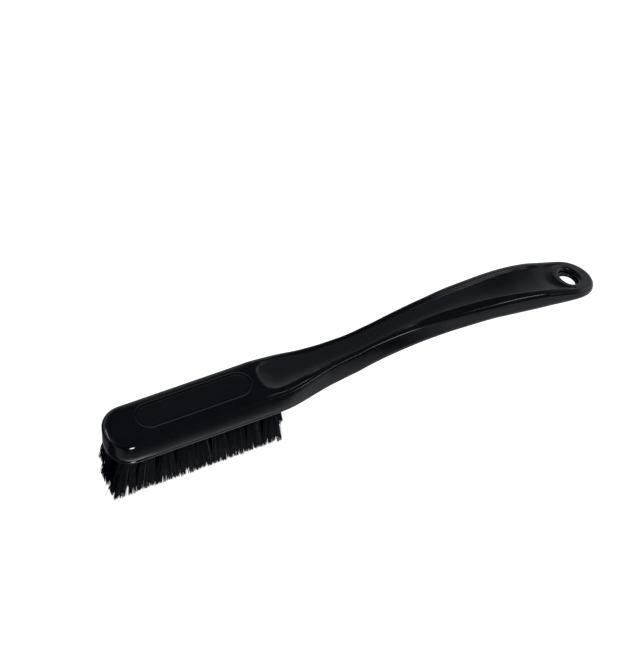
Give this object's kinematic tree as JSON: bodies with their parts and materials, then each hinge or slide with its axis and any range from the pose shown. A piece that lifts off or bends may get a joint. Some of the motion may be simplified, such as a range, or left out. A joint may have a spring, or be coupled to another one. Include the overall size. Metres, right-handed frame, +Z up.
{
  "type": "cleaning brush",
  "caption": "Narrow hand brush with an oblong block of black bristle tufts, a bowed one-piece handle with a thumb rest and channel, and a hanging hole.",
  "frame": {"origin": "on the surface the brush stands on, under the middle of its length and width", "axes": "+X along the brush from the round front of the block to the end of the handle, +Y to its left, +Z up out of the block's top"},
  "size_m": [0.2512, 0.0259, 0.0424],
  "materials": {
    "moulded_body": "polished black moulding",
    "bristle": "black synthetic bristle, slightly glossy strands with a matt bundle",
    "anchor_wire": "flat tinned wire"
  },
  "bodies": {
    "root": {"bristle_tuft_left_01": "bristle", "bristle_tuft_left_02": "bristle", "bristle_tuft_left_03": "bristle", "bristle_tuft_left_04": "bristle", "bristle_tuft_left_05": "bristle", "bristle_tuft_left_06": "bristle", "bristle_tuft_left_07": "bristle", "bristle_tuft_left_08": "bristle", "bristle_tuft_left_09": "bristle", "bristle_tuft_middle_01": "bristle", "bristle_tuft_middle_02": "bristle", "bristle_tuft_middle_03": "bristle", "bristle_tuft_middle_04": "bristle", "bristle_tuft_middle_05": "bristle", "bristle_tuft_middle_06": "bristle", "bristle_tuft_middle_07": "bristle", "bristle_tuft_middle_08": "bristle", "bristle_tuft_middle_09": "bristle", "bristle_tuft_middle_10": "bristle", "bristle_tuft_right_01": "bristle", "bristle_tuft_right_02": "bristle", "bristle_tuft_right_03": "bristle", "bristle_tuft_right_04": "bristle", "bristle_tuft_right_05": "bristle", "bristle_tuft_right_06": "bristle", "bristle_tuft_right_07": "bristle", "bristle_tuft_right_08": "bristle", "bristle_tuft_right_09": "bristle", "brush_body": "moulded_body", "tuft_anchor_left_01": "anchor_wire", "tuft_anchor_left_02": "anchor_wire", "tuft_anchor_left_03": "anchor_wire", "tuft_anchor_left_04": "anchor_wire", "tuft_anchor_left_05": "anchor_wire", "tuft_anchor_left_06": "anchor_wire", "tuft_anchor_left_07": "anchor_wire", "tuft_anchor_left_08": "anchor_wire", "tuft_anchor_left_09": "anchor_wire", "tuft_anchor_middle_01": "anchor_wire", "tuft_anchor_middle_02": "anchor_wire", "tuft_anchor_middle_03": "anchor_wire", "tuft_anchor_middle_04": "anchor_wire", "tuft_anchor_middle_05": "anchor_wire", "tuft_anchor_middle_06": "anchor_wire", "tuft_anchor_middle_07": "anchor_wire", "tuft_anchor_middle_08": "anchor_wire", "tuft_anchor_middle_09": "anchor_wire", "tuft_anchor_middle_10": "anchor_wire", "tuft_anchor_right_01": "anchor_wire", "tuft_anchor_right_02": "anchor_wire", "tuft_anchor_right_03": "anchor_wire", "tuft_anchor_right_04": "anchor_wire", "tuft_anchor_right_05": "anchor_wire", "tuft_anchor_right_06": "anchor_wire", "tuft_anchor_right_07": "anchor_wire", "tuft_anchor_right_08": "anchor_wire", "tuft_anchor_right_09": "anchor_wire"}
  },
  "joints": []
}
